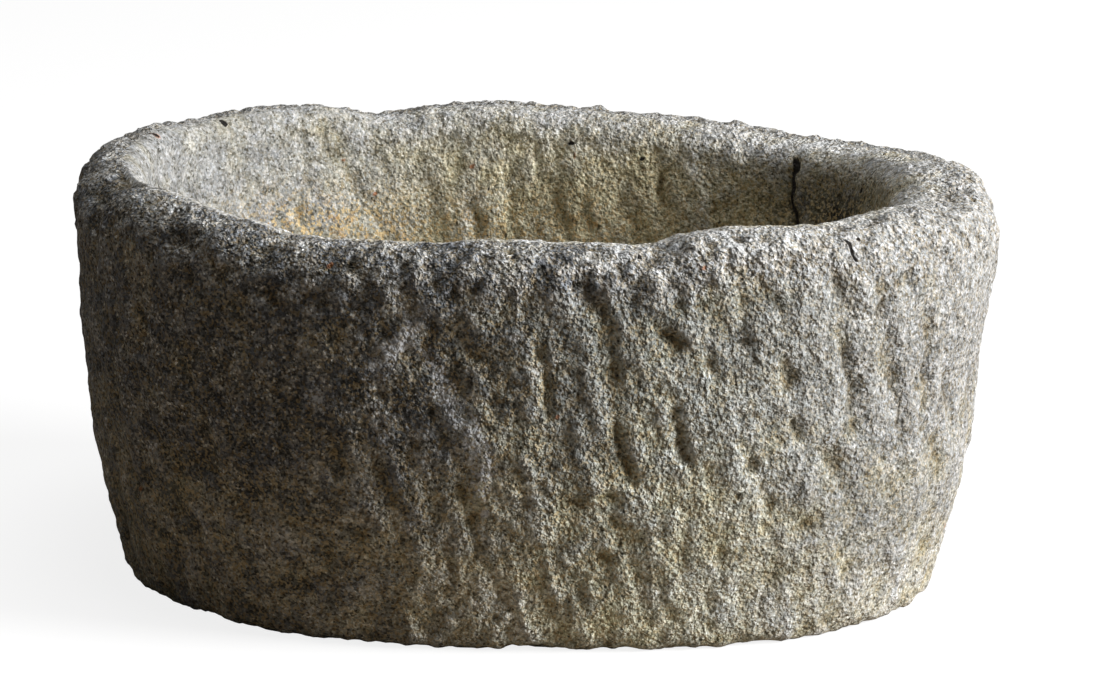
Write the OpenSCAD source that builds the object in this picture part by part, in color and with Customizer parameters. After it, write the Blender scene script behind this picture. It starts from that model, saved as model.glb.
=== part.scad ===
// Stone trough: one block of granite, hewn to a blunt oval and hollowed out with a point chisel.
// Frame: X along the length, Y across, Z up. The origin is on the ground at the middle of the plan.
// Angles run round the plan from the +X end, so 90 is the back and 270 the front.
// Units are millimetres and degrees.

/* [Size] */
// Length of the plan outline
length = 850; // [720:5:1000]
// Width of the plan outline
width = 612; // [540:4:760]
// Height of the mean rim line above the ground
rim_height = 381; // [330:1:440]

/* [Plan] */
// Squareness of the oval: 2 is an ellipse, more is blunter at the corners
squareness = 2.4; // [2:0.1:3]
// Lean of the oval towards one diagonal, as a share of the radius
skew = -0.027; // [-0.04:0.001:0.04]
// Egg shape, which blunts one end more than the other, as a share of the radius
egg = 0.015; // [0:0.001:0.03]
// Four-sidedness of the oval, as a share of the radius
corners = 0.004; // [0:0.001:0.02]

/* [Outer wall] */
// How far the foot is drawn in from the plan outline
foot_draw = 46; // [25:1:65]
// Height above the ground at which the draw ends
draw_height = 374; // [330:2:400]
// Power of the draw: 1 is a straight slope, more bellies the wall
belly = 2.6; // [1.4:0.1:3.2]
// Worn radius of the arris where the wall meets the ground
foot_radius = 12; // [6:1:24]

/* [Rim] */
// Thickness of the wall at the rim, on the long sides
side_wall = 78; // [66:1:100]
// Thickness of the wall at the rim, at the +X end
right_wall = 98; // [66:1:120]
// Thickness of the wall at the rim, at the -X end
left_wall = 68; // [62:1:100]
// How far the crown of the rim lies in from the plan outline
crown_inset = 45; // [30:1:52]
// Height of the round that brings the outer wall up to the crown
outer_round = 44; // [20:1:60]
// Height of the round that takes the crown down to the basin's wall
inner_round = 32; // [14:1:44]
// How much higher the inner round is at the -X end, where the rim is worn
worn_round = 10; // [0:1:14]
// Squareness of both rounds: 2 is an ellipse, more is flatter on the crown
round_squareness = 2.4; // [2:0.1:3]

/* [Basin] */
// Thickness of the floor at its middle
floor_thickness = 96; // [70:1:130]
// How far the basin's wall draws in on its way down, on the long sides
basin_draw = 36; // [20:1:50]
// How much more the basin's wall draws in at the -X end, and how much less at the +X end
worn_draw = 8; // [0:1:12]
// Radius of the round between the basin's wall and the floor
basin_radius = 62; // [40:1:75]
// How much higher the floor is at its edge than at its middle
floor_dish = 8; // [1:1:12]

/* [Hewing] */
// Strength of the broad swells and hollows that the hewing left: 1 is as found, 0 is a smooth form
hewing = 1; // [0:0.1:1.2]

/* [Resolution] */
// Facets around the trough
around = 96; // [72:8:112]

/* [Hidden] */

// How far the hewn block reaches below the ground line before its bed is dressed flat
bed_allowance = 6;
// Room that the dressing cut takes beyond the block on every side
cut_margin = 50;

// The rim's rise above its mean line, as [angle, rise]
rim_line = [
    [0, 8], [14, -2], [26, -10], [38, -13], [50, -5], [64, -2], [82, 0], [98, 3], [109, -1], [119, -13],
    [129, 2], [141, 2], [150, -1], [161, 4], [176, 5], [190, 7], [208, 11], [219, 2], [231, -8],
    [250, -6], [268, -2], [280, -3], [294, -7], [303, 9], [311, 8], [322, 4], [335, 7], [348, -2]
];
// Stretch of rim that each point of the rim line governs, in degrees
rim_line_reach = 7;

// Broad swells of the outer wall, as [angle, height, reach round, reach up, how far it stands out].
// A hollow stands out by a negative amount.
outer_swells = [
    [0, 318, 34, 42, 5], [0, 215, 34, 40, -3], [180, 290, 30, 45, -2], [180, 205, 30, 45, -3],
    [22, 120, 14, 60, 2], [48, 240, 12, 50, -3], [64, 150, 12, 60, 3], [80, 290, 10, 40, -2],
    [97, 190, 12, 60, 3], [112, 110, 12, 45, -3], [124, 270, 10, 45, 2], [141, 180, 12, 60, -3],
    [158, 110, 12, 50, 2], [203, 230, 9, 60, 2], [219, 150, 10, 60, -2], [236, 250, 8, 50, 2],
    [250, 130, 9, 60, 2], [258, 265, 7, 45, -4], [268, 190, 7, 60, 3], [279, 280, 6, 45, -2],
    [289, 180, 6, 60, -2], [299, 290, 6, 40, -3], [306, 160, 7, 55, 3], [319, 240, 8, 60, -2],
    [334, 130, 10, 55, 2]
];
// Broad swells of the basin's wall, in the same form. A swell stands out into the basin.
basin_swells = [
    [12, 270, 14, 50, 3], [34, 250, 7, 60, -3], [47, 290, 8, 45, 4], [62, 230, 8, 60, -3],
    [76, 300, 8, 40, 3], [90, 240, 7, 60, -3], [104, 290, 8, 45, 3], [121, 240, 9, 60, -3],
    [139, 290, 10, 45, 3], [160, 240, 12, 60, -2], [184, 260, 14, 60, 3], [208, 230, 10, 60, -3],
    [229, 280, 10, 45, 3], [250, 220, 9, 60, -3], [268, 280, 9, 45, 3], [287, 230, 9, 60, -3],
    [306, 280, 9, 45, 3], [327, 230, 10, 60, -3], [346, 280, 10, 45, 2]
];

wall_steps = 13;
round_steps = 5;
foot_steps = 2;
basin_steps = 8;
corner_steps = 5;
floor_steps = 4;

function sum(list) = list * [for (v = list) 1];
function turn_between(a, b) = abs(((a - b + 540) % 360) - 180);

// The rim's rise at an angle: the mean of the rim line's points, weighted by their nearness
function rim_rise(a) =
    let (nearness = [for (p = rim_line) exp(-pow(turn_between(a, p[0]) / rim_line_reach, 2))])
    nearness * [for (p = rim_line) p[1]] / sum(nearness);
function rim_z(a) = rim_height + rim_rise(a);

function stand_out(swells, a, z) = hewing * sum([
    for (s = swells) s[4] * exp(-pow(turn_between(a, s[0]) / s[2], 2) - pow((z - s[1]) / s[3], 2))
]);

// The oval before it is brought to its length and width
function oval_radius(a) =
    pow(pow(abs(cos(a)), squareness) + pow(abs(sin(a)) * length / width, squareness), -1 / squareness)
    * (1 + skew * sin(2 * a) + egg * cos(3 * a) + corners * cos(4 * a));
angles = [for (i = [0:around - 1]) i * 360 / around];
oval = [for (a = angles) oval_radius(a) * [cos(a), sin(a)]];
oval_low = [min([for (p = oval) p.x]), min([for (p = oval) p.y])];
oval_high = [max([for (p = oval) p.x]), max([for (p = oval) p.y])];

// The plan outline, exactly length by width about the origin
outline = [for (p = oval) [
    ((p.x - oval_low.x) / (oval_high.x - oval_low.x) - 0.5) * length,
    ((p.y - oval_low.y) / (oval_high.y - oval_low.y) - 0.5) * width
]];

// The wall's section at an angle. Each station is [inset from the plan outline, height].
function towards_right(a) = pow(max(0, cos(a)), 2);
function towards_left(a) = pow(max(0, -cos(a)), 2);
function wall_at(a) =
    side_wall + (right_wall - side_wall) * towards_right(a) + (left_wall - side_wall) * towards_left(a);
function inner_round_at(a) = inner_round + worn_round * towards_left(a);
function basin_draw_at(a) = basin_draw - worn_draw * cos(a);
function outer_inset(a, z) =
    foot_draw * pow(max(0, 1 - z / draw_height), belly) - stand_out(outer_swells, a, z);
function outer_top(a) = rim_z(a) - outer_round;
function inner_top(a) = rim_z(a) - inner_round_at(a);
basin_edge_z = floor_thickness + floor_dish;

// A quarter of a superellipse from [1, 0] at 0 degrees to [0, 1] at 90
function round_x(t) = pow(max(0, cos(t)), 2 / round_squareness);
function round_z(t) = pow(max(0, sin(t)), 2 / round_squareness);

function foot_stations(a) =
    let (come_in = function(t) foot_radius * (1 - sin(t)), rise = function(t) foot_radius * (1 - cos(t)))
    concat(
        [[outer_inset(a, 0) + foot_radius, -bed_allowance]],
        [for (i = [0:foot_steps - 1]) let (t = i * 90 / foot_steps)
            [outer_inset(a, rise(t)) + come_in(t), rise(t)]]
    );
function outer_stations(a) = [
    for (i = [0:wall_steps]) let (z = foot_radius + (outer_top(a) - foot_radius) * i / wall_steps)
        [outer_inset(a, z), z]
];
function outer_round_stations(a) =
    let (foot = outer_inset(a, outer_top(a)))
    [for (i = [1:round_steps]) let (t = i * 90 / round_steps)
        [crown_inset + (foot - crown_inset) * round_x(t), outer_top(a) + outer_round * round_z(t)]];
function inner_round_stations(a) = [
    for (i = [1:round_steps]) let (t = 90 - i * 90 / round_steps)
        [crown_inset + (wall_at(a) - crown_inset) * round_x(t), inner_top(a) + inner_round_at(a) * round_z(t)]
];
function basin_wall_stations(a) =
    let (low = basin_edge_z + basin_radius)
    [for (i = [1:basin_steps]) let (t = i / basin_steps, z = inner_top(a) + (low - inner_top(a)) * t)
        [wall_at(a) + basin_draw_at(a) * t + stand_out(basin_swells, a, z), z]];
function basin_corner_stations(a) =
    let (low = basin_edge_z + basin_radius)
    [for (i = [1:corner_steps]) let (t = i * 90 / corner_steps) [
        wall_at(a) + basin_draw_at(a) + basin_radius * (1 - cos(t)) + stand_out(basin_swells, a, low) * cos(t),
        low - basin_radius * sin(t)
    ]];
function section(a) = concat(
    foot_stations(a), outer_stations(a), outer_round_stations(a),
    inner_round_stations(a), basin_wall_stations(a), basin_corner_stations(a)
);
function placed(p, station) = concat(p * (1 - station[0] / norm(p)), station[1]);

// Rings of points from the bed up the outer wall, over the rim and down to the middle of the floor
sections = [for (a = angles) section(a)];
wall_rings = [for (k = [0:len(sections[0]) - 1]) [for (i = [0:around - 1]) placed(outline[i], sections[i][k])]];
floor_edge = wall_rings[len(wall_rings) - 1];
floor_rings = [for (k = [1:floor_steps - 1]) let (share = 1 - k / floor_steps)
    [for (p = floor_edge) [p.x * share, p.y * share, floor_thickness + floor_dish * pow(share, 2)]]];
rings = concat(wall_rings, floor_rings);

// The two triangles of each facet between one ring and the next
function strip(ring) = [
    for (i = [0:around - 1])
        let (a = ring * around + i, b = ring * around + (i + 1) % around, c = a + around, d = b + around)
        each [[a, c, b], [b, c, d]]
];

module hewn_block() {
    bed_middle = len(rings) * around;
    floor_middle = bed_middle + 1;
    last_ring = (len(rings) - 1) * around;
    points = concat(
        [for (ring = rings) each ring],
        [[0, 0, -bed_allowance], [0, 0, floor_thickness]]
    );
    bed = [for (i = [0:around - 1]) [bed_middle, i, (i + 1) % around]];
    floor_fan = [for (i = [0:around - 1]) [floor_middle, last_ring + (i + 1) % around, last_ring + i]];
    polyhedron(points, concat(bed, [for (k = [0:len(rings) - 2]) each strip(k)], floor_fan), convexity = 6);
}

// Everything below the ground line, which the dressing of the bed takes away
module bed_cut() {
    translate([-length / 2 - cut_margin, -width / 2 - cut_margin, -bed_allowance - cut_margin])
        cube([length + 2 * cut_margin, width + 2 * cut_margin, bed_allowance + cut_margin]);
}

module stone_trough() {
    color([0.52, 0.50, 0.46])
        difference() {
            hewn_block();
            bed_cut();
        }
}

stone_trough();
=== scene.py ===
"""A stone trough, hewn from one block of granite and hollowed out with a point chisel, on a pale floor."""

import math
import random

import bmesh
import bpy
import numpy as np
from mathutils import Euler, Matrix, Vector, noise


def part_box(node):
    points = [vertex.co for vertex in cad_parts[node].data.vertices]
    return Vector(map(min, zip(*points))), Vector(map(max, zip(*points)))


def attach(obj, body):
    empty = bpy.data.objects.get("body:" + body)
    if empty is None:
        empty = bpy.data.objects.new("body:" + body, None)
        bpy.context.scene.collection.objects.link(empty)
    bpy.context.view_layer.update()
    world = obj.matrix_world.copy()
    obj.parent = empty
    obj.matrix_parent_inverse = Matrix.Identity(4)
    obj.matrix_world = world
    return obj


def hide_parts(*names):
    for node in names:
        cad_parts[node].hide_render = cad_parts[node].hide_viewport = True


MM = 0.001
NODE = "stone_trough"
CAD_WELD = 0.05 * MM
SKIN_WELD = 0.01 * MM

# The camera that took the photograph, found from the trough's outline in it
SENSOR = 36.0
LENS = 124.94
CAMERA_DISTANCE = 3.6
CAMERA_ELEVATION = math.radians(16.2)
CAMERA_ROLL = math.radians(0.91)
AIM = Vector((0.0198, 0, 0.2096))

# The mesh of the hewn surface: about 4.5 mm from point to point wherever it shows. Over the basin's floor the rings
# lie further apart, as each step there counts for less.
COLUMNS = 528
WALL_RINGS = 182
BED_RINGS = 3
FLOOR_STEP_SHARE = 0.35
FLOOR_RISE = 12 * MM

# How much the chisel's drags turn round the stone as they rise, in radians per metre, and how drawn out they are
DRAG_LEAN = 0.8
DRAG_STRETCH = 3.4
# Noise is read at a tilt, so that its own grid never runs level round the stone
NOISE_TILT = np.array(Euler((0.6, 0.9, 0.4)).to_matrix())

# The relief, in mm. RELIEF_BASE is where it lies as a whole, and DEEPEST_CUT holds the chisel's furrows and creases.
RELIEF_BASE = -1.2
RELIEF_LIFT = 1.4
DEEPEST_CUT = 7.5
LUMP_HEIGHT = 1.6
KNOB_HEIGHT = 1.5
RIM_KNOB_HEIGHT = 1.7
CRUMB_HEIGHT = 1.3
CHIP_DEPTH = 2.8
SWELL_HEIGHT = 2.4
DRAG_DEPTH = 1.8
CRACK_DEPTH = 5
CRACK_LIP = 2.5
# How much of the relief the basin and the top of the rim have lost to wear, and how much more at their left end
BASIN_WEAR = 0.45
LEFT_WEAR = 0.12
# Chips and knobs gather round the rim: none this far below its top, in mm, and all of them from the second number up
RIM_BAND = (75, 25)

# How far a furrow reaches to the side where the angle is less and to the side where it is more, in mm
FURROW_REACH = (7.5, 4.5)
VALLEY_REACH = (14, 7)
RIDGE_REACH = (7, 5)
BASIN_REACH = (5, 9)
# How deep the broad valley round a furrow is, as a share of the furrow
VALLEY_SHARE = 0.4
# The dark line of a furrow is its side away from the lamp, and its bottom lies this many degrees to the left in
# the photo
DARK_SIDE = 1.3
FURROW_SEED = 11

# Furrows of the outer wall, as the line of the dark side in (angle, height in mm), with the depth in mm.
# Angles run round the plan from the +X end, so 270 is the front and 90 the back.
OUTER_FURROWS = [
    (4.0, [(281.5, 348), (284.5, 318), (285.5, 300)]),
    (4.5, [(286.2, 292), (286.8, 262), (286.6, 240)]),
    (6.0, [(286.4, 228), (287.2, 212), (289.8, 181), (292, 163)]),
    (6.5, [(289.5, 338), (293.8, 306), (298.2, 285)]),
    (5.5, [(292.8, 268), (294.5, 246)]),
    (7.0, [(295.6, 238), (296.8, 208), (300, 172)]),
    (5.0, [(300.2, 213), (301, 175)]),
    (5.0, [(300.5, 290), (302, 262)]),
    (6.5, [(304.4, 322), (307, 280)]),
    (7.0, [(306.6, 206), (309.5, 156), (311.8, 142)]),
    (7.5, [(310.2, 292), (312, 262), (313, 236)]),
    (7.0, [(313.2, 232), (314.2, 205), (316, 185)]),
    (5.0, [(316, 360), (320, 322)]),
    (7.5, [(318.6, 304), (321, 252), (322.2, 208)]),
    (7.0, [(324, 314), (327, 261), (328.8, 228), (330, 185)]),
    (7.5, [(331.3, 302), (332.5, 272), (333.5, 225), (334, 192)]),
    (6.5, [(336, 266), (339, 202)]),
    (6.0, [(315.5, 200), (319.5, 180), (320.8, 158)]),
    (5.0, [(277, 156), (282.8, 150), (289, 160)]),
    (4.5, [(284.6, 106), (287.2, 86)]),
    (3.5, [(272, 316), (275, 276), (277, 207), (283, 202)]),
    (3.5, [(277, 183), (280, 150), (286, 140), (291.5, 111), (294, 80)]),
    (3.0, [(272, 154), (272, 135)]),
    (3.5, [(303, 128), (305.5, 82)]),
    (3.0, [(316, 130), (317, 110)]),
    (3.0, [(311, 94), (314, 52)]),
    (3.0, [(293, 369), (296, 354)]),
    (3.5, [(304, 344), (306, 314)]),
    (3.5, [(306.5, 357), (311, 324)]),
    (3.5, [(261, 304), (267, 274)]),
    (3.5, [(257, 231), (261, 186), (265, 99), (271, 28)]),
    (3.0, [(247.5, 210), (249.5, 165), (252, 128)]),
    (3.0, [(250.5, 354), (253, 341)]),
    (3.0, [(216, 218), (220, 189)]),
    (3.5, [(209, 207), (214, 162)]),
    (3.0, [(205, 152), (206, 126)]),
    (3.0, [(228, 309), (230, 302)]),
]

# Furrows of the basin's wall, in the same form
BASIN_FURROWS = [
    (3.5, [(129, 336), (125, 292), (120, 240)]),
    (2.5, [(112, 300), (109, 250)]),
    (4.0, [(103, 306), (100.5, 245)]),
    (3.0, [(94, 298), (91, 245)]),
    (3.2, [(84, 318), (76, 250)]),
    (2.5, [(74, 300), (70, 250)]),
    (3.0, [(66, 310), (58, 255)]),
    (4.0, [(56.5, 340), (52, 270)]),
    (2.2, [(44, 330), (42, 280)]),
]

# Where the walls that the photograph doesn't show, or hardly shows, are furrowed in the same way:
# number, first angle, last angle, lowest and highest middle in mm, and depth in mm
OUTER_SPREADS = [(92, -12, 196, 70, 320, 4.0), (16, 198, 256, 60, 320, 2.2), (12, 258, 345, 40, 90, 2.5)]
BASIN_SPREADS = [(64, 134, 378, 190, 310, 2.6), (24, 20, 132, 150, 240, 2.4)]

# The ridges that catch the lamp, as the line of the crest, with the height in mm
RIDGES = [
    (1.6, [(258.5, 241), (262.2, 216), (264.2, 188), (263.8, 158)]),
    (1.8, [(267.5, 324), (271, 303), (273, 262), (274, 216)]),
    (0.9, [(254.5, 324), (252, 306), (249.8, 291), (245.8, 267)]),
]

# Pale scrapes along the ridges, with their reach in mm
SCRAPES = [
    (10, [(254.5, 326), (252, 306), (249.8, 291), (245.8, 267)]),
    (11, [(258.5, 243), (262.2, 216), (264.2, 188), (263.8, 156)]),
    (8, [(254.5, 289), (257, 261), (258.5, 240)]),
    (8, [(237.2, 250), (239, 232)]),
]

# The long crack down the basin's wall, and the short crack in the rim's front shoulder
BASIN_CRACK = [(31.2, 361), (30.4, 352), (30.4, 336), (30.2, 322), (29.4, 308), (28.4, 296), (27.8, 262)]
RIM_CRACK = [(319.6, 380), (319.0, 371), (319.4, 360)]

# Creases of the rim's left end: depth and reach in mm, and the line of the bottom
RIM_CREASES = [
    (11.0, 15, [(189, 389), (193, 386), (196.2, 381), (198.2, 371), (198.5, 358), (198, 325)]),
    (6.0, 9, [(209, 390), (215.5, 370), (218.2, 356), (219, 321)]),
    (3.0, 5, [(226, 381), (230, 362)]),
    (3.0, 5, [(241, 374), (244, 356)]),
    (3.0, 5, [(262, 377), (265, 360)]),
]

# Pale bruises, rusty nicks and holes, whose dark is painted shade: angle, height in mm, reach in mm
BRUISES = [
    (304, 383, 12),
    (308, 381, 9),
    (250.8, 292, 9),
    (246.5, 275, 7),
    (269, 304, 8),
    (264, 142, 8),
    (287, 376, 10),
]
BASIN_BRUISES = [(31.5, 365, 9), (36.5, 367, 9), (21, 373, 8), (28, 369, 6)]
RUST = [(298.2, 365, 6), (346, 69, 8), (319.2, 359, 4), (239, 361, 5), (206, 120, 6), (276, 230, 5)]
BASIN_RUST = [(129, 331, 5), (124, 300, 5), (163.8, 383, 5), (68, 350, 4), (78, 340, 4), (104, 330, 5)]
HOLES = [(224, 364, 5), (321, 378, 4), (333, 372, 4), (290, 372, 4), (268, 372, 4), (201, 372, 5)]
BASIN_HOLES = [(147.8, 379, 4.2), (100.2, 309, 4), (78.8, 352, 5), (12.8, 347, 5), (163.8, 383, 3.5), (62, 341, 4)]

# Broad patches that are darker or paler than the rest of the wall: angle and height in mm of the middle, reach in
# degrees and in mm, and by how much. Besides the stone's own tone they hold painted light and shade: the foot is
# made paler, as if lit by the floor, and the basin's right wall darker, where it lies in shadow.
OUTER_PATCHES = [
    (234, 260, 24, 75, -0.20),
    (283, 290, 24, 60, -0.20),
    (335, 215, 24, 130, -0.28),
    (334, 110, 22, 55, -0.28),
    (318, 150, 10, 40, -0.22),
    (289, 182, 5, 16, -0.35),
    (289, 330, 5, 10, -0.30),
    (307, 330, 5, 10, -0.35),
    (213, 65, 20, 50, -0.25),
    (222, 165, 17, 45, -0.45),
    (253, 250, 7, 20, -0.40),
    (243, 228, 7, 24, -0.35),
    (276, 195, 11, 20, -0.35),
    (261, 120, 6, 16, -0.35),
    (235, 355, 6, 10, -0.45),
    (218, 377, 20, 6, -0.35),
    (304, 382, 18, 20, 0.30),
    (215, 352, 17, 10, 0.60),
    (262, 165, 14, 40, 0.20),
    (298, 170, 8, 60, 0.35),
    # The foot's patches are painted light, as if the floor threw light back onto it
    (262, 55, 8, 18, 0.55),
    (298, 60, 11, 20, 0.40),
    (280, 26, 18, 14, 0.85),
    (266, 76, 8, 22, 0.45),
    (259, 376, 9, 6, 0.30),
    (240, 28, 18, 10, 0.30),
]
BASIN_PATCHES = [
    # Darker stone and painted shade on the basin's right wall, which lies in shadow
    (16, 330, 22, 40, -0.60),
    (25, 314, 12, 20, -0.60),
    (45, 350, 12, 14, -0.30),
    (79, 298, 7, 24, -0.30),
    (166, 312, 8, 18, -0.25),
    (110, 325, 8, 50, 0.35),
    (90, 350, 8, 12, 0.60),
    (62, 350, 14, 10, 0.45),
    (25, 366, 9, 6, 0.55),
    (66, 372, 22, 9, -0.25),
]


def smooth_rows(rows, places, closed=False):
    """Rows of points at fractional places among the given rows, on smooth curves through them."""
    whole = np.floor(places).astype(int)
    share = (places - whole).reshape(-1, *[1] * (rows.ndim - 1))

    def row(step):
        at = whole + step
        return rows[at % len(rows) if closed else np.clip(at, 0, len(rows) - 1)]

    before, start, end, after = row(-1), row(0), row(1), row(2)
    return 0.5 * (
        2 * start
        + (end - before) * share
        + (2 * before - 5 * start + 4 * end - after) * share**2
        + (3 * start - before - 3 * end + after) * share**3
    )


def cad_rings():
    """The CAD solid's own points, as rings from the ground up the outer wall, over the rim and down to the floor's
    middle. Every ring has one point at each of the solid's angles."""
    solid = bmesh.new()
    solid.from_mesh(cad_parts[NODE].data)
    bmesh.ops.remove_doubles(solid, verts=solid.verts, dist=CAD_WELD)
    points = np.array([v.co for v in solid.verts])
    solid.free()
    reach = np.hypot(points[:, 0], points[:, 1])
    middle = points[(reach < MM) & (points[:, 2] > MM)][0]
    points, reach = points[reach > MM], reach[reach > MM]
    turn = np.degrees(np.arctan2(points[:, 1], points[:, 0])) % 360
    turn[turn > 358] -= 360
    order = np.argsort(turn)
    column = np.zeros(len(points), int)
    column[order[1:]] = np.cumsum(np.diff(turn[order]) > 0.5)
    sections = []
    for k in range(column.max() + 1):
        section, away = points[column == k], reach[column == k]
        # A place inside the wall, under the rim's top: the section's points follow each other round it
        core = away[section[:, 2].argmax()], 50 * MM
        sections.append(section[np.arctan2(section[:, 2] - core[1], away - core[0]).argsort()])
    sections = np.array(sections)
    return np.concatenate([sections.swapaxes(0, 1), [np.tile(middle, (len(sections), 1))]])


def smooth_rings():
    """The smooth form through the CAD solid's points, as rings of COLUMNS points with the bed's rings first."""
    rings = cad_rings()
    dense = smooth_rows(rings, np.arange(0, len(rings) - 1 + 1e-6, 0.1))
    steps = np.linalg.norm(np.diff(dense, axis=0), axis=2).mean(axis=1)
    over_floor = dense[1:, :, 2].mean(axis=1) < rings[-1, 0, 2] + FLOOR_RISE
    over_floor &= np.arange(len(steps)) > len(steps) / 2
    travel = np.concatenate([[0], np.cumsum(steps * np.where(over_floor, FLOOR_STEP_SHARE, 1))])
    places = np.interp(np.linspace(0, travel[-1], WALL_RINGS), travel, np.arange(len(travel)))
    wall = smooth_rows(dense, places)
    wall = smooth_rows(wall.swapaxes(0, 1), np.arange(COLUMNS) * wall.shape[1] / COLUMNS, closed=True).swapaxes(0, 1)
    bed = [wall[0] * [share, share, 0] for share in np.linspace(0, 1, BED_RINGS + 1)[:-1]]
    wall[0, :, 2] = 0
    return np.concatenate([bed, wall])


def outward(rings):
    """The direction out of the stone at every point of the rings."""
    round_plan = np.roll(rings, -1, axis=1) - np.roll(rings, 1, axis=1)
    up_section = np.gradient(rings, axis=0)
    out = np.cross(round_plan, up_section)
    length = np.linalg.norm(out, axis=2, keepdims=True)
    out = np.where(length > 1e-9, out / np.maximum(length, 1e-9), 0)
    out[0], out[-1] = (0, 0, -1), (0, 0, 1)
    return out


def field(points, size, octaves=3, shift=0.0, roughness=0.9):
    """Smooth noise from about -1 to 1 at every point, with waves of the given size in metres."""
    offset = Vector((shift, shift * 1.7, -shift))
    flat = points.reshape(-1, 3) @ NOISE_TILT / size
    values = [noise.fractal(Vector(p) + offset, roughness, 2.1, octaves) for p in flat]
    return np.array(values).reshape(points.shape[:-1])


def drawn_out(points, lean):
    """The points turned about the upright axis as they rise, and squeezed in height. Noise that is read there leans
    as the chisel's drags do, and is drawn out along them."""
    x, y, z = np.moveaxis(points, -1, 0)
    turn = lean * z
    return np.stack([x * np.cos(turn) - y * np.sin(turn), x * np.sin(turn) + y * np.cos(turn), z / DRAG_STRETCH], -1)


def evened(values, passes):
    """The values of a grid of points, each brought towards the mean of its neighbours."""
    for _ in range(passes):
        values = (np.roll(values, 1, axis=1) + 2 * values + np.roll(values, -1, axis=1)) / 4
        ends = np.concatenate([values[:1], values, values[-1:]])
        values = (ends[:-2] + 2 * values + ends[2:]) / 4
    return values


def step(values, low, high):
    """0 below low and 1 above high, with a soft step from one to the other. Low may be the greater of the two."""
    share = np.clip((values - low) / (high - low), 0, 1)
    return share * share * (3 - 2 * share)


class Face:
    """The outer face of the wall or the basin's, laid out flat: mm round it from the +X end, and mm of height."""

    def __init__(self, stone, middle_ring, shown):
        loop = stone.rings[middle_ring]
        steps = np.linalg.norm(np.roll(loop, -1, axis=0) - loop, axis=1) / MM
        self.round = np.concatenate([[0], np.cumsum(steps)])
        self.angles = np.linspace(0, 360, COLUMNS + 1)
        self.way = self.round[:-1] + stone.wobble
        self.height = stone.height + stone.drift
        self.shown = shown

    def at(self, angle):
        """How far round the face an angle lies, in mm."""
        turns, rest = divmod(angle, 360)
        return turns * self.round[-1] + np.interp(rest, self.angles, self.round)

    def apart(self, way):
        """How far on from a way round each point lies, the short way."""
        half = self.round[-1] / 2
        return (self.way - way + half) % (2 * half) - half

    def beside(self, line):
        """Each point's distance from a line down the face, in mm, negative where the angle is less, and how far down
        the line it lies, from 0 to 1."""
        corners = [(self.at(angle), height) for angle, height in line]
        lengths = [math.dist(a, b) for a, b in zip(corners, corners[1:])]
        nearest, across, down, run = np.full(self.height.shape, 1e9), 0, 0, 0.0
        for (start, end), length in zip(zip(corners, corners[1:]), lengths):
            away, up = self.apart(start[0]), self.height - start[1]
            along = end[0] - start[0], end[1] - start[1]
            share = np.clip((away * along[0] + up * along[1]) / length**2, 0, 1)
            distance = np.hypot(away - share * along[0], up - share * along[1])
            side = np.where(up * along[0] > away * along[1], 1, -1)
            closer = distance < nearest
            across = np.where(closer, distance * side, across)
            down = np.where(closer, (run + share * length) / sum(lengths), down)
            nearest = np.minimum(nearest, distance)
            run += length
        return across, down

    def furrow(self, line, depth, less_side, more_side):
        """The depth of a chisel's furrow along a line, with its reach to the side where the angle is less and to the
        side where it is more."""
        across, down = self.beside(line)
        taper = np.sin(np.pi * np.clip(down, 0.08, 0.92)) ** 0.6
        return depth * taper * np.exp(-((across / np.where(across < 0, less_side, more_side)) ** 2)) * self.shown

    def spot(self, angle, height, reach):
        """1 at the middle of a spot, and 0 from its reach outwards."""
        return step(np.hypot(self.apart(self.at(angle)), self.height - height), reach, 0) * self.shown


def spread_furrows(spreads, lean, chance):
    """Furrows for the walls that the photograph doesn't show, set out as the ones it does show are."""
    furrows = []
    for number, first, last, low, high, depth in spreads:
        for k in range(number):
            angle = first + (last - first) * (k + chance.uniform(0.1, 0.9)) / number
            middle, half = chance.uniform(low, high), chance.uniform(16, 40)
            slope = lean * chance.uniform(0.4, 1.6) * half / 30
            bend = chance.uniform(-0.4, 0.4)
            line = [(angle - slope, middle + half), (angle + bend, middle), (angle + slope, middle - half)]
            furrows.append((depth * chance.uniform(0.6, 1.3), line))
    return furrows


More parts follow.
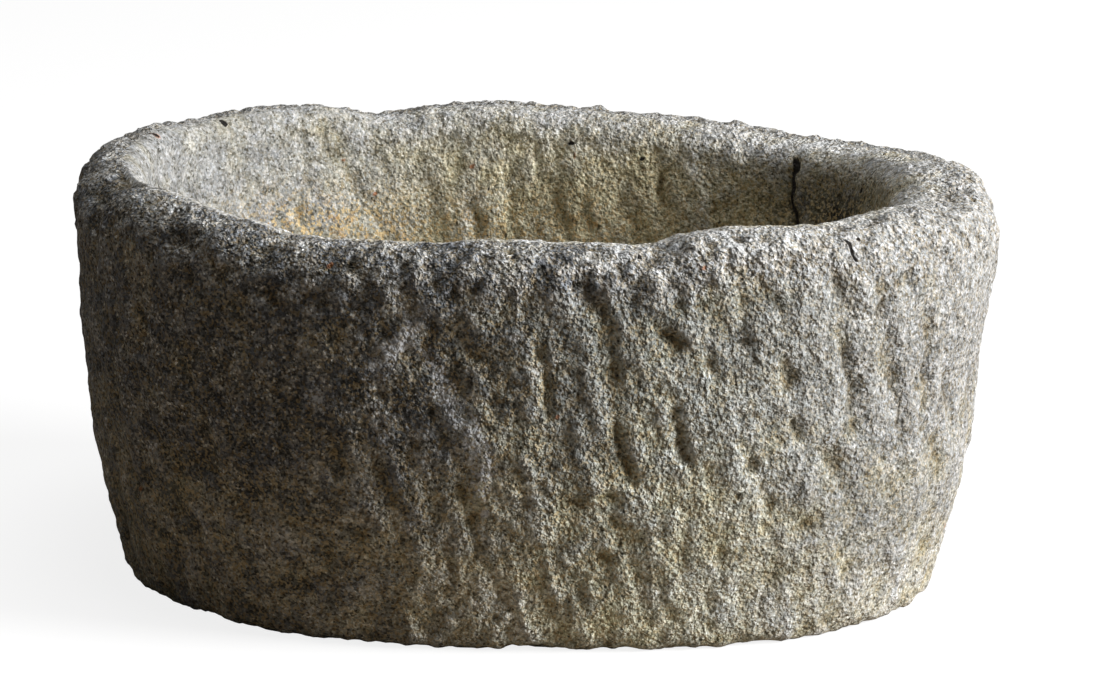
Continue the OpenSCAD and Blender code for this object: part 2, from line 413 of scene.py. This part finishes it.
class Stone:
    """The trough's surface as rings of points, with its relief and the masks that its finish reads."""

    def __init__(self):
        self.rings = smooth_rings()
        self.out = outward(self.rings)
        self.height = self.rings[:, :, 2] / MM
        self.turn = np.broadcast_to(np.arange(COLUMNS) * 360 / COLUMNS, self.height.shape)
        self.ring = np.arange(len(self.rings))[:, None]
        self.crown = self.height.mean(axis=1).argmax()
        self.below_rim = self.height[self.crown] - self.height
        self.from_middle = step(np.hypot(self.rings[:, :, 0], self.rings[:, :, 1]) / MM, 20, 210)
        # How far a furrow strays to the side and in height, in mm, and how much of its depth is left along it
        self.wobble = 3.2 * field(self.rings, 30 * MM, 2, 3.1) + 3.6 * field(self.rings, 12 * MM, 1, 2.7)
        self.drift = 5.0 * field(self.rings, 30 * MM, 3, 7.7)
        depth_left = 0.85 + 0.5 * field(self.rings, 26 * MM, 2, 9.9) + 0.6 * field(self.rings, 12 * MM, 1, 0.8)
        self.broken = np.clip(depth_left, 0.45, 1.5)
        self.outer = Face(self, self.crown // 2, self.ring <= self.crown)
        self.basin = Face(self, (self.crown + len(self.rings)) // 2, self.ring > self.crown)
        self.carve()
        self.colour()

    def near(self, angle, reach):
        """1 at an angle and less the further from it round the stone. Over the floor it evens out, so that no wedge
        shows at the middle."""
        wedge = np.exp(-((((self.turn - angle + 180) % 360 - 180) / reach) ** 2))
        return wedge.mean(axis=1, keepdims=True) * (1 - self.from_middle) + wedge * self.from_middle

    def patches(self, places):
        """How much darker or paler each point is for the broad patches that it lies in."""
        light = 0
        for angle, height, reach, tall, amount in places:
            light = light + amount * self.near(angle, reach) * np.exp(-(((self.height - height) / tall) ** 2))
        return light

    def furrows(self):
        """How deep the furrows and creases cut, in mm."""
        chance = random.Random(FURROW_SEED)
        cut, valley = np.zeros(self.height.shape), np.zeros(self.height.shape)
        for depth, line in OUTER_FURROWS + spread_furrows(OUTER_SPREADS, 1.2, chance):
            line = [(angle - DARK_SIDE, height) for angle, height in line]
            cut = np.maximum(cut, self.outer.furrow(line, depth, *FURROW_REACH))
            valley = np.maximum(valley, self.outer.furrow(line, depth * VALLEY_SHARE, *VALLEY_REACH))
        for depth, reach, line in RIM_CREASES:
            cut = np.maximum(cut, self.outer.furrow(line, depth, reach, reach))
        for depth, line in BASIN_FURROWS + spread_furrows(BASIN_SPREADS, -1.6, chance):
            line = [(angle + DARK_SIDE, height) for angle, height in line]
            cut = np.maximum(cut, self.basin.furrow(line, depth, *BASIN_REACH))
        return np.clip(cut * self.broken, valley, DEEPEST_CUT)

    def drags(self):
        """The chisel's drags, which lean to the right on their way down both faces and fade out towards the rim."""
        lean = np.where(self.ring <= self.crown, DRAG_LEAN, -DRAG_LEAN)
        places = drawn_out(self.rings, lean)
        swells = field(places, 22 * MM, 3, 2.2, 0.8)
        valleys = np.clip(1 - np.abs(field(places, 36 * MM, 2, 6.4)) / 0.25, 0, 1)
        calm = 1 - (0.6 * self.near(245, 32) + 0.35 * self.near(308, 30)) * (self.ring <= self.crown)
        return (SWELL_HEIGHT * swells - DRAG_DEPTH * valleys) * calm * np.clip(self.below_rim / 45, 0, 1)

    def carve(self):
        """Lays the relief on the smooth form, and holds the result inside the CAD solid's box."""
        top = step(self.below_rim, *RIM_BAND)
        knobs = KNOB_HEIGHT + RIM_KNOB_HEIGHT * (top * (self.ring <= self.crown))
        lumps = LUMP_HEIGHT * field(self.rings, 60 * MM, 3, 1.3)
        lumps += knobs * field(self.rings * [1, 1, 0.6], 17 * MM, 2, 5.2, 0.6)
        crumbs = CRUMB_HEIGHT * field(self.rings, 11 * MM, 1, 8.3)
        chips = np.clip(1 - np.abs(field(self.rings, 24 * MM, 2, 4.5)) / 0.3, 0, 1) * top
        worn = 1 - (BASIN_WEAR + LEFT_WEAR * self.near(160, 40)) * (self.ring >= self.crown)
        relief = (lumps + crumbs + self.drags() + RELIEF_LIFT - CHIP_DEPTH * chips) * worn
        for height, line in RIDGES:
            relief = relief + self.outer.furrow(line, height, *RIDGE_REACH) * self.broken
        across, down = self.basin.beside(BASIN_CRACK)
        split = CRACK_DEPTH * np.exp(-((across / 3.5) ** 2)) - CRACK_LIP * np.exp(-(((across + 13) / 9) ** 2))
        relief = relief - self.basin.shown * step(down, 0.0, 0.06) * split
        relief = relief - self.furrows() + RELIEF_BASE
        self.relief = np.where(self.ring < BED_RINGS, 0, relief)
        low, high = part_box(NODE)
        self.rings = np.clip(self.rings + self.out * self.relief[:, :, None] * MM, low, high)

    def spots(self, outer, basin):
        """The mask of round spots, of which some are on the outer face and some on the basin's."""
        places = [self.outer.spot(*place) for place in outer] + [self.basin.spot(*place) for place in basin]
        return np.clip(sum(places), 0, 1)

    def colour(self):
        """The masks, which say where the granite is warm, dark, rough or stained, and where light and shade are painted
        on it.
        """
        outside, inside = self.ring <= self.crown, self.ring > self.crown
        foot = step(self.height, 240, 110) * outside
        deep = step(self.below_rim, -5, 60) * inside
        rim = step(self.below_rim, 55, 20)
        left = self.near(165, 48) * inside
        right = self.near(14, 26) * inside
        crust = self.near(215, 45) * step(self.below_rim, -6, 8) * outside * (1 - 0.6 * foot)
        crust = np.maximum(crust, 0.5 * self.near(262, 30) * step(self.below_rim, 48, 26) * outside)
        # Painted light: the rim's crown at the left end is made paler where it catches the lamp
        crown_painted_light = self.near(208, 44) * step(self.below_rim, 20, 3)
        far = self.near(340, 26) * outside
        warmth = 0.12 - 0.32 * rim * outside + 0.42 * foot - 0.24 * far - 0.05 * left + 0.8 * deep * (1 - left)
        # Painted light: the foot is made paler, as if lit by light thrown back from the floor
        light_outside = 0.22 * foot + 0.1 * self.near(325, 40) + 0.15 * self.near(275, 25) * rim
        light_outside = light_outside + self.patches(OUTER_PATCHES) + 0.32 * crown_painted_light
        # Darker stone and painted shade on the basin's right wall, which lies in shadow
        light_inside = 0.5 - 0.12 * deep - 0.65 * left - 0.3 * right * deep + self.patches(BASIN_PATCHES)
        rough = 0.70 + 0.28 * self.near(262, 34) * outside + 0.3 * rim * outside + 0.25 * crust
        rough = rough * (1 - 0.6 * left) * (1 - 0.22 * self.near(95, 50) * inside)
        rough = rough * (1 - (0.12 + 0.14 * foot) * self.near(325, 36) * outside)
        self.masks = {
            "hollow": np.clip((evened(self.relief, 20) - self.relief) / 2.5, -1, 1),
            "warmth": np.clip(warmth, -1, 1),
            "light": np.where(outside, light_outside, light_inside),
            "olive": self.near(290, 28) * outside * (1 - rim),
            "crust": crust,
            "rough": rough,
            "ochre": np.clip(deep * (self.near(140, 16) + 0.8 * self.near(95, 40)) * step(self.height, 330, 250), 0, 1),
            "bruise": self.spots(BRUISES, BASIN_BRUISES),
            "scrape": np.clip(sum(self.outer.furrow(line, 1, reach, reach) for reach, line in SCRAPES), 0, 1),
            "rust": self.spots(RUST, BASIN_RUST),
            "hole": self.spots(HOLES, BASIN_HOLES),
        }
        for name, face, line in (("crack", self.basin, BASIN_CRACK), ("nick", self.outer, RIM_CRACK)):
            across, down = face.beside(line)
            self.masks[name] = np.clip(across, -12, 12)
            self.masks[name + "_end"] = face.shown * step(down, 0, 0.06) * step(down, 1, 0.94)

    def skin(self):
        """The mesh through the rings: a grid, rolled up round the plan and closed at the bed's and floor's middles."""
        skin = bmesh.new()
        bmesh.ops.create_grid(skin, x_segments=COLUMNS, y_segments=len(self.rings) - 1, size=0.5)
        flat = np.array([v.co for v in skin.verts])
        column = np.rint((flat[:, 0] + 0.5) * COLUMNS).astype(int) % COLUMNS
        ring = np.rint((flat[:, 1] + 0.5) * (len(self.rings) - 1)).astype(int)
        for vertex, place in zip(skin.verts, self.rings[ring, column]):
            vertex.co = place
        for name, mask in self.masks.items():
            layer = skin.verts.layers.float.new(name)
            for vertex, value in zip(skin.verts, mask[ring, column]):
                vertex[layer] = value
        bmesh.ops.remove_doubles(skin, verts=skin.verts, dist=SKIN_WELD)
        bmesh.ops.recalc_face_normals(skin, faces=skin.faces)
        for face in skin.faces:
            face.smooth = True
        return skin


def piece(name, shape, material):
    """An object of the scene, made of a shape and one material."""
    mesh = bpy.data.meshes.new(name)
    shape.to_mesh(mesh)
    shape.free()
    mesh.materials.append(material)
    made = bpy.data.objects.new(name, mesh)
    bpy.context.scene.collection.objects.link(made)
    return made


class Value:
    """A shader's socket, on which sums are written as Python expressions."""

    def __init__(self, finish, socket):
        self.finish, self.socket = finish, socket

    def sum(self, operation, *terms):
        return self.finish.node("Math", {"operation": operation}, dict(enumerate(terms)))

    def __add__(self, other):
        return self.sum("ADD", self, other)

    def __sub__(self, other):
        return self.sum("SUBTRACT", self, other)

    def __mul__(self, other):
        return self.sum("MULTIPLY", self, other)

    def __rsub__(self, other):
        return self.sum("SUBTRACT", other, self)

    __radd__, __rmul__ = __add__, __mul__

    def __abs__(self):
        return self.sum("ABSOLUTE", self)

    def held(self, low=0.0, high=1.0):
        return self.finish.node("Clamp", {}, {"Value": self, "Min": low, "Max": high})

    def step(self, low, high):
        """0 below low and 1 above high, with a soft step from one to the other."""
        return self.finish.node(
            "MapRange", {"interpolation_type": "SMOOTHSTEP"}, {"Value": self, "From Min": low, "From Max": high}
        )


class Finish:
    """A material's or a world's nodes."""

    def __init__(self, owner):
        owner.use_nodes = True
        self.tree = owner.node_tree
        self.tree.nodes.clear()

    def node(self, kind, settings, sockets, output=0):
        made = self.tree.nodes.new("ShaderNode" + kind)
        for name, setting in settings.items():
            if name == "stops":
                self.set_stops(made.color_ramp, setting)
            else:
                setattr(made, name, setting)
        for name, value in sockets.items():
            if isinstance(value, Value):
                self.tree.links.new(value.socket, made.inputs[name])
            else:
                made.inputs[name].default_value = value
        return Value(self, made.outputs[output]) if len(made.outputs) else made

    def set_stops(self, ramp, stops):
        """Gives a colour ramp its places and colours."""
        while len(ramp.elements) < len(stops):
            ramp.elements.new(0.5)
        for element, (place, colour) in zip(ramp.elements, stops):
            element.position, element.color = place, colour

    def place(self):
        return self.node("TexCoord", {}, {}, "Object")

    def mask(self, name):
        return self.node("Attribute", {"attribute_name": name}, {}, "Fac")

    def noise(self, place, size, detail=3.0, roughness=0.55):
        return self.node(
            "TexNoise", {}, {"Vector": place, "Scale": 1 / size, "Detail": detail, "Roughness": roughness}
        )

    def cells(self, place, size, output="Color"):
        return self.node("TexVoronoi", {}, {"Vector": place, "Scale": 1 / size}, output)

    def mix(self, share, first, second):
        return self.node("Mix", {"data_type": "RGBA"}, {0: share, 6: first, 7: second}, 2)

    def times(self, colour, tint, share=1.0):
        """A colour multiplied by another, by a share."""
        return self.node("Mix", {"data_type": "RGBA", "blend_type": "MULTIPLY"}, {0: share, 6: colour, 7: tint}, 2)

    def grey(self, value):
        return self.node("CombineColor", {}, {"Red": value, "Green": value, "Blue": value})

    def part(self, colour, channel):
        return self.node("SeparateColor", {}, {"Color": colour}, channel)


def rgb(red, green, blue):
    return (red, green, blue, 1.0)


# The grains from the darkest to the palest, and what tints or covers them
GRAIN = [
    (0.0, rgb(0.050, 0.046, 0.034)),
    (0.22, rgb(0.14, 0.134, 0.107)),
    (0.38, rgb(0.35, 0.348, 0.308)),
    (0.58, rgb(0.46, 0.459, 0.415)),
    (0.72, rgb(0.64, 0.636, 0.587)),
    (1.0, rgb(0.84, 0.832, 0.79)),
]
COOL_TINT = rgb(0.945, 0.95, 1.03)
WARM_TINT = rgb(1.0, 0.915, 0.68)
OLIVE_TINT = rgb(0.985, 1.025, 0.985)
CRUST_TINT = rgb(0.40, 0.42, 0.46)
BLUE_TINT = rgb(0.86, 0.94, 1.04)
OCHRE_TINT = rgb(0.95, 0.64, 0.36)
OCHRE_GRAIN = rgb(0.70, 0.54, 0.30)
PECK_DIRT_AND_SHADE = rgb(0.46, 0.425, 0.37)
FURROW_DIRT_AND_SHADE = rgb(0.47, 0.425, 0.35)
WORN_EDGE = rgb(0.72, 0.71, 0.68)
BRUISE_DUST = rgb(0.80, 0.81, 0.81)
SCRAPE_DUST = rgb(0.80, 0.83, 0.87)
RUST_BROWN = rgb(0.42, 0.17, 0.07)
# Painted shade for the cracks, holes and pits
CRACK_AND_PIT_SHADE = rgb(0.012, 0.010, 0.008)


def granite():
    """The stone's material: grains, crust, stains and dirt, painted shade in its hollows, cracks and pits, painted
    light and shade in broad patches, and a pecked skin.
    """
    material = bpy.data.materials.new("hewn_granite")
    finish = Finish(material)
    place = finish.place()
    hollow, warmth, light, crust, rough = map(finish.mask, ("hollow", "warmth", "light", "crust", "rough"))
    olive, ochre, bruise, scrape, rust, hole = map(finish.mask, ("olive", "ochre", "bruise", "scrape", "rust", "hole"))

    # The pecked skin, in mm: lumps, crumbs and pecks
    lumps = finish.noise(place, 8 * MM, 2.0, 0.5) * 6 + finish.cells(place, 5 * MM, "Distance") * 1.6
    skin = (lumps + finish.noise(place, 3.2 * MM, 1.0, 0.5) * 3.6 - 5.5) * rough

    # Grains of three sizes, each of which takes a tone of its own, and clumps where dark or pale ones gather. Where
    # the stone is crusted over, few pale grains show.
    large = finish.cells(place, 4.2 * MM)
    small = finish.cells(place, 2.2 * MM)
    dust = finish.noise(place, 1.3 * MM, 2.0, 0.7)
    clump = finish.noise(place, 10 * MM, 3.0, 0.65)
    tone = finish.part(large, "Red") * 0.2 + finish.part(small, "Green") * 0.5 + dust * 0.5
    tone = tone + clump * 0.55 - crust * 0.16 - 0.36
    grain = finish.node("ValToRGB", {"stops": GRAIN}, {"Fac": tone})

    # Cool grey on the ridges and the rim, warm in the hollows, at the foot and inside
    patch = finish.noise(place, 46 * MM, 4.0, 0.62)
    warm = ((warmth + (patch - 0.5) * 2.1 + hollow * 0.3) * (1.25 - tone * 0.5)).held()
    colour = finish.times(grain, finish.mix(warm, COOL_TINT, WARM_TINT))
    glint = finish.part(small, "Red").step(0.82, 0.9) * crust * 1.7
    blotch = finish.noise(place, 22 * MM, 4.0, 0.65) * (crust * 1.5 + 1.2)
    # light holds the broad patches: the stone's own tone, and painted light and shade
    colour = finish.times(colour, finish.grey(1.66 + light + glint + crust * 0.84 - blotch))
    colour = finish.times(colour, OLIVE_TINT, olive)
    growth = finish.noise(place, 30 * MM, 5.0, 0.78).step(0.46, 0.54) * crust.step(0.0, 0.4)
    colour = finish.times(colour, CRUST_TINT, growth * 0.95)

    # Ochre and cream grains, which gather where the stone is warm, and bluish ones
    fleck = finish.part(small, "Blue").step(0.66, 0.72) * (warm * 0.5 + ochre * 0.6 + 0.25).held()
    fleck = fleck * (rough * 1.6 + ochre - 0.3).held()
    colour = finish.mix(fleck, colour, OCHRE_GRAIN)
    blue = finish.part(small, "Blue").step(0.3, 0.25) * 0.35
    colour = finish.times(colour, BLUE_TINT, blue)
    stain = (ochre * finish.noise(place, 14 * MM, 3.0, 0.7).step(0.45, 0.7)).held()
    speckle = finish.part(small, "Red").step(0.35, 0.65) * 0.6 + 0.15
    colour = finish.times(colour, OCHRE_TINT, stain * speckle)

    # Dirt and painted shade in the skin's own hollows and in the furrows, worn pale edges, bruises, scrapes and rust
    # Dirt and painted shade: the skin's low places are darkened for the shade that falls in the pecks
    colour = finish.times(colour, PECK_DIRT_AND_SHADE, skin.step(0.3, -1.5))
    # Dirt and painted shade in the furrows and other hollows of the relief
    colour = finish.times(colour, FURROW_DIRT_AND_SHADE, hollow.step(0.25, 1.3))
    colour = finish.mix(hollow.step(-0.2, -1.0) * 0.18, colour, WORN_EDGE)
    ragged = finish.noise(place, 6 * MM, 3.0, 0.7)
    colour = finish.mix((bruise * 1.6 - ragged).step(0.0, 0.5) * 0.75, colour, BRUISE_DUST)
    pale = (scrape * 1.1 - finish.part(small, "Green")).step(0.0, 0.25) * ragged.step(0.35, 0.6)
    colour = finish.mix(pale * 0.85, colour, SCRAPE_DUST)
    colour = finish.mix((rust * 1.8 - ragged).step(0.1, 0.6) * 0.8, colour, RUST_BROWN)

    # Painted shade: near-black in the cracks, in holes and in pits where grains have dropped out, for the shadow inside
    # them
    pit_cells = finish.cells(place, 8 * MM)
    pit = finish.cells(place, 8 * MM, "Distance").step(0.2, 0.1) * finish.part(pit_cells, "Red").step(0.6, 0.65)
    crack = abs(finish.mask("crack")).step(2.6, 1.4) * finish.mask("crack_end").step(0.3, 0.6)
    nick = abs(finish.mask("nick")).step(1.8, 0.9) * finish.mask("nick_end").step(0.3, 0.6)
    # dark is the painted shade of the pits, holes and cracks
    dark = (pit * rough.step(0.45, 0.75) * 0.8 + (hole * 1.5 - ragged * 0.6).step(0.1, 0.4) + crack + nick).held()
    colour = finish.mix(dark, colour, CRACK_AND_PIT_SHADE)

    bump = finish.node("Bump", {}, {"Height": skin - dark * 1.5, "Strength": 1.0, "Distance": 1.0 * MM})
    shader = finish.node(
        "BsdfPrincipled",
        {},
        {
            "Base Color": colour,
            "Roughness": finish.part(small, "Red") * 0.2 + 0.74,
            "Specular IOR Level": 0.2,
            "Normal": bump,
        },
    )
    finish.node("OutputMaterial", {}, {"Surface": shader})
    return material


FLOOR_REACH = 40
FLOOR_PALE = rgb(0.3, 0.3, 0.3)
FLOOR_WHITE = 0.84
FLOOR_FOR_THE_STONE = rgb(0.29, 0.245, 0.20)


def floor():
    """A plain pale floor, which keeps the trough's shadow. The stone gets less light back from it than the camera
    sees on it."""
    shape = bmesh.new()
    bmesh.ops.create_grid(shape, x_segments=1, y_segments=1, size=FLOOR_REACH)
    material = bpy.data.materials.new("pale_floor")
    finish = Finish(material)
    seen = finish.node("LightPath", {}, {}, "Is Camera Ray")
    pale = finish.node("BsdfDiffuse", {}, {"Color": FLOOR_PALE})
    white = finish.node("Emission", {}, {"Color": rgb(1, 1, 1), "Strength": FLOOR_WHITE})
    table = finish.node("BsdfDiffuse", {}, {"Color": FLOOR_FOR_THE_STONE})
    surface = finish.node("MixShader", {}, {0: seen, 1: table, 2: finish.node("AddShader", {}, {0: pale, 1: white})})
    finish.node("OutputMaterial", {}, {"Surface": surface})
    piece("floor", shape, material)


LAMP_DISTANCE = 6
LAMP_AIM = Vector((0, 0, 0.2))


def lamp(name, turn, elevation, size, power):
    """A soft round lamp that faces the trough. Turn 0 is the camera's side and 90 the +X end."""
    light = bpy.data.lights.new(name, "AREA")
    light.shape, light.size, light.energy = "DISK", size, power
    made = bpy.data.objects.new(name, light)
    turn, elevation = math.radians(turn), math.radians(elevation)
    side = Vector((math.sin(turn) * math.cos(elevation), -math.cos(turn) * math.cos(elevation), math.sin(elevation)))
    made.location = LAMP_AIM + side * LAMP_DISTANCE
    made.rotation_euler = side.to_track_quat("Z", "Y").to_euler()
    bpy.context.scene.collection.objects.link(made)


def sky():
    """White where the camera or a reflection sees it, and next to nothing on the stone."""
    world = bpy.data.worlds.new("studio")
    bpy.context.scene.world = world
    finish = Finish(world)
    direct, glossy, through = (
        finish.node("LightPath", {}, {}, f"Is {kind} Ray") for kind in ("Camera", "Glossy", "Transmission")
    )
    seen = (direct + glossy + through).held()
    fill = finish.node("Background", {}, {"Color": rgb(1.0, 0.9, 0.78), "Strength": 0.01})
    white = finish.node("Background", {}, {"Color": rgb(1, 1, 1), "Strength": 1.0})
    surface = finish.node("MixShader", {}, {0: seen, 1: fill, 2: white})
    finish.node("OutputWorld", {}, {"Surface": surface})


def camera():
    """The camera that took the photograph."""
    data = bpy.data.cameras.new("camera")
    data.sensor_width, data.lens = SENSOR, LENS
    data.clip_start, data.clip_end = 0.05, 200
    made = bpy.data.objects.new("camera", data)
    back = Vector((0, -math.cos(CAMERA_ELEVATION), math.sin(CAMERA_ELEVATION)))
    look = Matrix.Rotation(math.pi / 2 - CAMERA_ELEVATION, 4, "X") @ Matrix.Rotation(CAMERA_ROLL, 4, "Z")
    made.matrix_world = Matrix.Translation(AIM + back * CAMERA_DISTANCE) @ look
    bpy.context.scene.collection.objects.link(made)
    bpy.context.scene.camera = made


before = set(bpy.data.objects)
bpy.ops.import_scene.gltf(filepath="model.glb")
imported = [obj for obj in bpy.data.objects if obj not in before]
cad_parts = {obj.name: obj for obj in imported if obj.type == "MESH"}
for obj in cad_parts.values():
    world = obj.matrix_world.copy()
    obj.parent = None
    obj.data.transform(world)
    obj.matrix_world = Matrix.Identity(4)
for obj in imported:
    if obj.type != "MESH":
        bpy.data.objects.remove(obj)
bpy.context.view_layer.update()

camera()
trough = piece("hewn_stone", Stone().skin(), granite())
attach(trough, "root")
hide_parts(NODE)

floor()
sky()
lamp("key", 78, 22, 2.4, 540)
lamp("top", 60, 85, 3.0, 110)
bpy.context.scene.view_settings.view_transform = "Standard"
